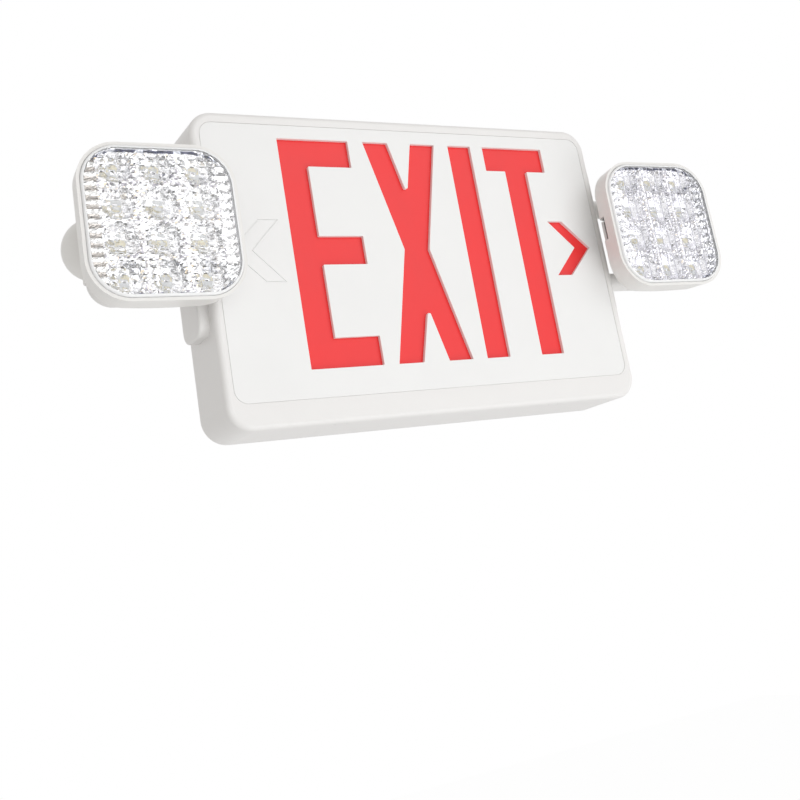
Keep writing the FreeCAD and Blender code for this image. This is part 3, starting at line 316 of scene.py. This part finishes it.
def makeExitFace():
    low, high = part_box("stencil_face")
    front = low.y / mm
    start, end = front - lettering["cutAhead"], front + lettering["cutBehind"]
    cutters = bmesh.new()
    for outline in letterOutlines() + [chevron]:
        addPrism(cutters, roundCorners(placed(outline), lettering["cornerRound"]), start, end)
    # the other arrow is a closed knock-out, shown only by its scored outline
    half = lettering["knockOutWide"] / 2
    mirrored = placed([(-x, z) for x, z in chevron])
    for i, corner in enumerate(mirrored):
        first, last = Vector(corner), Vector(mirrored[(i + 1) % len(mirrored)])
        along = (last - first).normalized()
        side = Vector((-along.y, along.x)) * half
        first, last = first - along * half, last + along * half
        strip = [tuple(first + side), tuple(last + side), tuple(last - side), tuple(first - side)]
        addPrism(cutters, strip, start, front + lettering["knockOutDeep"])
    mesh = cutMesh(weldedCopy("stencil_face"), finishMesh(cutters, "letters"), "exitFace")
    piece = addPiece("exitFace", mesh, "facePlastic", "sign", "stencil_face")
    softenEdges(piece, lettering["edgeRound"] * mm)
    makeFaceSeam(low, high)


# thin ring in the open joint round the face, which leaves only a shallow line
def makeFaceSeam(low, high):
    centre = ((low.x + high.x) / 2 / mm, (low.z + high.z) / 2 / mm)
    half = ((high.x - low.x) / 2 / mm, (high.z - low.z) / 2 / mm)
    inner, outer = -faceSeam["overlap"], faceSeam["wide"]
    front, back, steps = faceSeam["front"], faceSeam["back"], faceSeam["cornerSteps"]
    bm = bmesh.new()
    loops = []
    for grow, depth in ((inner, front), (outer, front), (outer, back), (inner, back)):
        corner = faceSeam["corner"] + grow
        loop = []
        for quarter, (sideX, sideZ) in enumerate(((1, 1), (-1, 1), (-1, -1), (1, -1))):
            for step in range(steps + 1):
                angle = math.radians(90 * quarter + 90 * step / steps)
                x = centre[0] + sideX * (half[0] + grow - corner) + corner * math.cos(angle)
                z = centre[1] + sideZ * (half[1] + grow - corner) + corner * math.sin(angle)
                loop.append(bm.verts.new((x * mm, low.y + depth * mm, z * mm)))
        loops.append(loop)
    for first, second in zip(loops, loops[1:] + loops[:1]):
        for i in range(len(first)):
            j = (i + 1) % len(first)
            bm.faces.new((first[i], first[j], second[j], second[i]))
    addPiece("faceSeam", finishMesh(bm, "faceSeam"), "housingPlastic", "sign")


def softenEdges(piece, width, segments=2, sharpFrom=40):
    bevel = piece.modifiers.new("edgeRound", "BEVEL")
    bevel.width = width
    bevel.segments = segments
    bevel.limit_method = "ANGLE"
    bevel.angle_limit = math.radians(sharpFrom)
    bevel.use_clamp_overlap = True


makeExitFace()
print("exit face with its letters")


lampHead = {
    "rimToFront": 1.5,                                  # the lens stands this far before the rim, mm
    "outward": -0.9,                                    # the lens's front faces point at least so far to -Y
    "seed": 7,
    # mirror: a tray with cups, ribbed at both sides
    "plateDepth": 1.8, "plateThick": 0.8,
    "trayHalf": (45.0, 44.8), "trayCorner": 22.5, "trayEdge": (0, 0.9, 1.8, 2.8),
    "facet": (1.3, 0.8), "dent": 0.3, "dentSpread": 1.4, "coveredEdge": 1.8,
    "cups": (3, 4), "cupPitch": (25.0, 22.0), "mouth": 10.2, "throat": 4.0, "cupDeep": 7.4, "cupCurve": 0.8,
    "border": (35.5, 43.4), "ribPitch": 5.6, "ribHeight": 0.5, "ribsInside": 2.0,
    # lens: a clear cover with a skirt, pillows and flutes
    "lensHalf": (45.25, 45.05), "lensCorner": 22.75, "lensEdge": (0, 0.15, 0.45, 0.8, 1.2, 1.6, 1.75),
    "lensFront": -1.5, "innerFrom": -0.5, "edgeRound": 1.2, "smoothUpTo": 35,
    "skirtThick": 1.6, "skirtEnd": 1.7, "skirtSlack": 0.01, "frostSlack": 0.05,
    "pillow": (5.95, 4.05), "pillowDeep": {"left": 0.9, "right": 0.5}, "pillowStep": (0.85, 0.68),
    "flutesFrom": 34.5, "fluteDeep": 0.6, "opticFade": 2.5, "paintedSeamShade": {"left": False, "right": True},
}


# the frame of a lamp head: its origin is the centre of the rim and -Y looks out
def headFrame(word):
    lens = nodes[word + "_lens"].data
    faces = [face for face in lens.polygons if face.normal.y < lampHead["outward"]]
    front = max(faces, key=lambda face: face.area)
    outward = front.normal.normalized()
    travel = [entry for entry in frame["joints"] if entry["name"] == word + "_head_travel"][0]
    hub = Vector(travel["pos_m"])
    ahead = (front.center - hub).dot(outward) - lampHead["rimToFront"] * mm
    turn = Matrix.Rotation(math.atan2(outward.x, -outward.y), 4, "Z")
    return Matrix.Translation(hub + outward * ahead) @ turn


# places from -reach to reach: given ones at both edges and even steps between
def spread(reach, step, edgeSteps):
    inner = reach - edgeSteps[-1]
    count = max(1, round(2 * inner / step))
    middle = [-inner + 2 * inner * i / count for i in range(1, count)]
    return [-reach + edge for edge in edgeSteps] + middle + [reach - edge for edge in reversed(edgeSteps)]


# rows of points that fill a rounded rectangle, with the same number of points in each row
def fillRounded(half, corner, step, edgeSteps):
    rows = []
    for z in spread(half[1], step[1], edgeSteps):
        over = max(abs(z) - half[1] + corner, 0)
        reach = half[0] - corner + math.sqrt(max(corner ** 2 - over ** 2, 0))
        share = [x / half[0] for x in spread(half[0], step[0], edgeSteps)]
        rows.append([(x * reach, z) for x in share])
    return rows


# how far inside the edge of a rounded rectangle a point lies
def insideBy(x, z, half, corner):
    across, up = abs(x) - half[0] + corner, abs(z) - half[1] + corner
    return corner - math.hypot(max(across, 0), max(up, 0)) - min(max(across, up), 0)


# how far a point lies from the middle of the nearest cup, across and up
def nearestCup(x, z):
    columns, rows = lampHead["cups"]
    pitchX, pitchZ = lampHead["cupPitch"]
    column = min(max(round(x / pitchX + (columns - 1) / 2), 0), columns - 1)
    row = min(max(round(z / pitchZ + (rows - 1) / 2), 0), rows - 1)
    return x - (column - (columns - 1) / 2) * pitchX, z - (row - (rows - 1) / 2) * pitchZ


# depth of the metallised surface behind the rim
def mirrorDepth(x, z, chance):
    dx, dz = nearestCup(x, z)
    away = math.hypot(dx, dz)
    inside = insideBy(x, z, lampHead["trayHalf"], lampHead["trayCorner"])
    depth = lampHead["plateDepth"]
    low, high = lampHead["border"]
    if away < lampHead["mouth"]:
        t = min((lampHead["mouth"] - away) / (lampHead["mouth"] - lampHead["throat"]), 1)
        depth += lampHead["cupDeep"] * t ** lampHead["cupCurve"]
    elif low < abs(x) < high and inside > lampHead["ribsInside"]:
        depth += lampHead["ribHeight"] * (1 - math.cos(2 * math.pi * z / lampHead["ribPitch"]))
    if inside > lampHead["coveredEdge"] and away > lampHead["throat"]:
        depth += chance.uniform(0, lampHead["dentSpread"]) * lampHead["dent"]
    return depth


# painted reflections and shade: each facet of the mirror is tinted a little lighter or darker, as if it mirrored
# lighter or darker things
mirrorLook = {
    # a random number below the limit picks the tone
    "tones": [
        (0.32, (1.0, 1.0, 1.0)), (0.54, (0.89, 0.89, 0.90)), (0.72, (0.78, 0.77, 0.78)),
        (0.85, (0.65, 0.63, 0.63)), (0.93, (0.49, 0.46, 0.45)), (0.97, (1.0, 0.87, 0.66)),
        (1.0, (0.33, 0.31, 0.35)),
    ],
    "lastRoll": 0.999,
    # how strongly those tones show, on the plate and in the cups
    "strength": {"left": (0.9, 0.35), "right": (0.55, 0.15)},
    "coat": {"left": (1.0, 1.0, 1.0), "right": (0.97, 0.965, 0.985)},
    # painted shade: round each cup the tint gets darker towards the lower right
    "shadeSlope": (0.6, -0.8), "shadeReach": 45,
    # ribbed borders at the left (-1) and right (1) of each head: tints for the ribs and the valleys between them,
    # with painted shade darkening the valleys and the left border of the left head
    "borders": {
        ("left", -1): ((0.80, 0.79, 0.77), (0.40, 0.37, 0.34)),
        ("left", 1): ((1.0, 1.0, 1.0), (0.78, 0.77, 0.77)),
        ("right", -1): ((0.98, 0.98, 0.99), (0.85, 0.85, 0.88)),
        ("right", 1): ((0.96, 0.96, 0.98), (0.76, 0.76, 0.80)),
    },
    "valleyShare": 0.45,
    # painted dark reflection: a broken dark line along the top and bottom edges
    "dashEdge": 2.8, "dashFrom": 36, "dashWaves": (0.83, 0.31), "dashShare": -0.7,
    "darkDash": (0.02, 0.025, 0.08), "paleDash": (0.6, 0.62, 0.68),
    "covered": (0.85, 0.85, 0.87),
}


# painted reflection and shade tone of one mirror facet
def facetTone(word, x, z, chance):
    dx, dz = nearestCup(x, z)
    away = math.hypot(dx, dz)
    inside = insideBy(x, z, lampHead["trayHalf"], lampHead["trayCorner"])
    low, high = lampHead["border"]
    roll = chance.random()
    if inside < lampHead["coveredEdge"]:
        return mirrorLook["covered"]
    if inside < mirrorLook["dashEdge"] and abs(z) > mirrorLook["dashFrom"]:
        quick, slow = mirrorLook["dashWaves"]
        isDark = math.sin(x * quick) + math.sin(x * slow + 1) > mirrorLook["dashShare"]
        return mirrorLook["darkDash"] if isDark else mirrorLook["paleDash"]
    if abs(x) > low:
        rib, valley = mirrorLook["borders"][word, 1 if x > 0 else -1]
        wave = math.cos(2 * math.pi * z / lampHead["ribPitch"])
        return valley if wave < mirrorLook["valleyShare"] and abs(x) < high else rib
    if away > lampHead["throat"]:
        across, up = mirrorLook["shadeSlope"]
        shade = max(0, across * dx + up * dz) / mirrorLook["shadeReach"]
        roll = min(roll + shade, mirrorLook["lastRoll"])
    tone = [tone for limit, tone in mirrorLook["tones"] if roll < limit][0]
    strength = mirrorLook["strength"][word][1 if away < lampHead["mouth"] else 0]
    return tuple(coat * (1 - strength * (1 - part)) for coat, part in zip(mirrorLook["coat"][word], tone))


def makeReflector(word, place):
    name = word + "Reflector"
    chance = random.Random(lampHead["seed"])
    half = lampHead["trayHalf"]
    rows = fillRounded(half, lampHead["trayCorner"], lampHead["facet"], lampHead["trayEdge"])
    bm = bmesh.new()
    # colour layer that carries each facet's painted reflection and shade
    tint = bm.loops.layers.float_color.new("tint")
    grid = [[bm.verts.new((x, mirrorDepth(x, z, chance), z)) for x, z in row] for row in rows]
    for lower, upper in zip(grid, grid[1:]):
        for i in range(len(lower) - 1):
            corners = (lower[i], lower[i + 1], upper[i + 1], upper[i])
            middle = sum((corner.co for corner in corners), Vector()) / 4
            tone = facetTone(word, middle.x, middle.z, chance)
            if math.hypot(*nearestCup(middle.x, middle.z)) < lampHead["throat"]:
                continue  # open throat, where the LEDs show
            face = bm.faces.new(corners)
            for loop in face.loops:
                loop[tint] = (*tone, 1)
    bmesh.ops.delete(bm, geom=[vert for vert in bm.verts if not vert.link_faces], context="VERTS")
    mesh = bpy.data.meshes.new(name)
    bm.to_mesh(mesh)
    bm.free()
    mesh.transform(place @ Matrix.Scale(mm, 4))
    piece = addPiece(name, mesh, "mirrorCoat", word + "_head", word + "_reflector")
    wall = piece.modifiers.new("wall", "SOLIDIFY")
    wall.thickness = lampHead["plateThick"] * mm
    wall.offset = 1 if mesh.polygons[0].normal.y > 0 else -1  # the wall grows to the back


# 1 in the middle of each pitch, 0 at its ends
def arch(value, pitch):
    u = 2 * (value / pitch - math.floor(value / pitch)) - 1
    return 1 - u * u


# pillows over the cups, horizontal flutes along the two side borders, plain at the edge
def opticHeight(word, x, z, inside):
    if abs(x) > lampHead["flutesFrom"]:
        height = lampHead["fluteDeep"] * arch(z + lampHead["ribPitch"] / 2, lampHead["ribPitch"])
    else:
        wide, tall = lampHead["pillow"]
        height = lampHead["pillowDeep"][word] * arch(x, wide) * arch(z, tall)
    return height * min(max((inside - lampHead["skirtThick"]) / lampHead["opticFade"], 0), 1)


# material slot of a lens face: 0 is clear, 1 the frosted edge, 2 a seam between two pillows with painted grey
# shade, on the right head only
def frostSlot(word, point):
    inside = insideBy(point.x, point.z, lampHead["lensHalf"], lampHead["lensCorner"])
    if inside < lampHead["skirtThick"] + lampHead["frostSlack"]:
        return 1
    onPillows = point.y > lampHead["innerFrom"] and abs(point.x) < lampHead["flutesFrom"]
    inSeam = point.x % lampHead["pillow"][0] < lampHead["pillowStep"][0]
    return 2 if lampHead["paintedSeamShade"][word] and onPillows and inSeam else 0


# clear cover: smooth outside, a field of small pillows inside
def makeLens(word, place):
    half, corner = lampHead["lensHalf"], lampHead["lensCorner"]
    rounding, skirt = lampHead["edgeRound"], lampHead["skirtThick"]
    rows = fillRounded(half, corner, lampHead["pillowStep"], lampHead["lensEdge"])
    bm = bmesh.new()
    outer, inner = [], []
    for row in rows:
        outerRow, innerRow = [], []
        for x, z in row:
            inside = max(insideBy(x, z, half, corner), 0)
            drop = max(rounding - inside, 0)
            front = lampHead["lensFront"] + rounding - math.sqrt(rounding ** 2 - drop ** 2)
            back = opticHeight(word, x, z, inside)
            if inside < skirt + lampHead["skirtSlack"]:
                back = lampHead["skirtEnd"]
            outerRow.append(bm.verts.new((x, front, z)))
            innerRow.append(bm.verts.new((x, back, z)))
        outer.append(outerRow)
        inner.append(innerRow)
    for grid, flip in ((outer, False), (inner, True)):
        for lower, upper in zip(grid, grid[1:]):
            for i in range(len(lower) - 1):
                corners = (lower[i], lower[i + 1], upper[i + 1], upper[i])
                bm.faces.new(corners[::-1] if flip else corners)
    last = len(outer) - 1
    ring = [(0, i) for i in range(len(outer[0]))] + [(j, -1) for j in range(1, last + 1)]
    ring += [(last, i) for i in range(len(outer[0]) - 2, -1, -1)] + [(j, 0) for j in range(last - 1, 0, -1)]
    for (a, b), (c, d) in zip(ring, ring[1:] + ring[:1]):
        bm.faces.new((outer[a][b], inner[a][b], inner[c][d], outer[c][d]))
    frost = [frostSlot(word, face.calc_center_median()) for face in bm.faces]
    mesh = finishMesh(bm, word + "Lens")
    mesh.transform(place @ Matrix.Scale(mm, 4))
    for face in mesh.polygons:
        face.use_smooth = True
    mesh.set_sharp_from_angle(angle=math.radians(lampHead["smoothUpTo"]))
    addPiece(word + "Lens", mesh, "clearPlastic", word + "_head", word + "_lens")
    mesh.materials.append(materials["lensEdge"])
    mesh.materials.append(materials["lensSeam"])
    for face, slot in zip(mesh.polygons, frost):
        face.material_index = slot


for word in ("left", "right"):
    place = headFrame(word)
    makeReflector(word, place)
    makeLens(word, place)
    print(word, "lamp head dressed")


studio = {
    "worldLight": 0.62, "worldTint": (1.0, 0.98, 0.955, 1),
    "floorHeight": -1.6, "floorSide": 14.0,
    "paleFloor": (0.93, 0.93, 0.93), "floorRough": 0.8, "floorGlow": 0.95, "glowStrength": 1.012,
    "lampTint": (0.97, 0.985, 1.0),
    # place, aim, side and power of each soft lamp
    "lamps": {
        "keyLamp": ((0.9, -2.1, 0.9), (0, 0, 0), 1.6, 9.8),
        "fillLamp": ((-0.6, -2.2, -0.2), (0, 0, 0), 1.4, 5.5),
        "lowLamp": ((0.5, -1.1, -1.0), (0, 0, 0), 1.2, 7.6),
    },
}
cameraView = {
    "place": (-399.3 * mm, -670.7 * mm, -201.0 * mm),
    "turn": (104.28, 9.64, -28.52),
    "lens": 52.04, "shift": (0.0, -0.1375), "nearest": 0.01,
}


# white for what the camera sees, directly, mirrored or through a clear piece, and plain light for the rest
def seenWhite(tree, plain, white, surface):
    path = tree.nodes.new("ShaderNodeLightPath")
    seen = path.outputs["Is Camera Ray"]
    for ray in ("Is Glossy Ray", "Is Transmission Ray"):
        either = tree.nodes.new("ShaderNodeMath")
        either.operation = "MAXIMUM"
        tree.links.new(seen, either.inputs[0])
        tree.links.new(path.outputs[ray], either.inputs[1])
        seen = either.outputs[0]
    mix = tree.nodes.new("ShaderNodeMixShader")
    tree.links.new(seen, mix.inputs["Fac"])
    tree.links.new(plain, mix.inputs[1])
    tree.links.new(white, mix.inputs[2])
    tree.links.new(mix.outputs[0], surface)


def makeWorld():
    world = bpy.data.worlds.new("studioWorld")
    scene.world = world
    world.use_nodes = True
    tree = world.node_tree
    plain = tree.nodes["Background"]
    plain.inputs["Color"].default_value = studio["worldTint"]
    plain.inputs["Strength"].default_value = studio["worldLight"]
    white = tree.nodes.new("ShaderNodeBackground")
    white.inputs["Strength"].default_value = 1.0
    white.inputs["Color"].default_value = (1, 1, 1, 1)
    surface = tree.nodes["World Output"].inputs["Surface"]
    seenWhite(tree, plain.outputs[0], white.outputs[0], surface)


def makeFloor():
    bm = bmesh.new()
    bmesh.ops.create_grid(bm, x_segments=1, y_segments=1, size=studio["floorSide"] / 2)
    bmesh.ops.translate(bm, verts=bm.verts[:], vec=(0, 0, studio["floorHeight"]))
    floor = bpy.data.objects.new("floor", finishMesh(bm, "floor"))
    scene.collection.objects.link(floor)
    material = newMaterial("paleFloor", studio["paleFloor"], studio["floorRough"])
    floor.data.materials.append(material)
    tree = material.node_tree
    shader = tree.nodes["Principled BSDF"]
    glow = tree.nodes.new("ShaderNodeEmission")
    glow.inputs["Strength"].default_value = studio["glowStrength"]
    blend = tree.nodes.new("ShaderNodeMixShader")
    blend.inputs["Fac"].default_value = studio["floorGlow"]
    tree.links.new(shader.outputs[0], blend.inputs[1])
    tree.links.new(glow.outputs[0], blend.inputs[2])
    surface = tree.nodes["Material Output"].inputs["Surface"]
    seenWhite(tree, shader.outputs[0], blend.outputs[0], surface)


def makeLamps():
    for name, (place, aim, side, power) in studio["lamps"].items():
        light = bpy.data.lights.new(name, "AREA")
        light.energy = power
        light.color = studio["lampTint"]
        light.shape = "SQUARE"
        light.size = side
        lamp = bpy.data.objects.new(name, light)
        lamp.location = place
        lamp.rotation_euler = (Vector(aim) - Vector(place)).to_track_quat("-Z", "Y").to_euler()
        scene.collection.objects.link(lamp)


def makeCamera():
    camera = bpy.data.objects.new("camera", bpy.data.cameras.new("camera"))
    camera.location = cameraView["place"]
    camera.rotation_euler = [math.radians(angle) for angle in cameraView["turn"]]
    camera.data.lens = cameraView["lens"]
    camera.data.shift_x, camera.data.shift_y = cameraView["shift"]
    camera.data.clip_start = cameraView["nearest"]
    scene.collection.objects.link(camera)
    scene.camera = camera
    scene.view_settings.view_transform = "Standard"


makeWorld()
makeFloor()
makeLamps()
makeCamera()
print("studio ready")
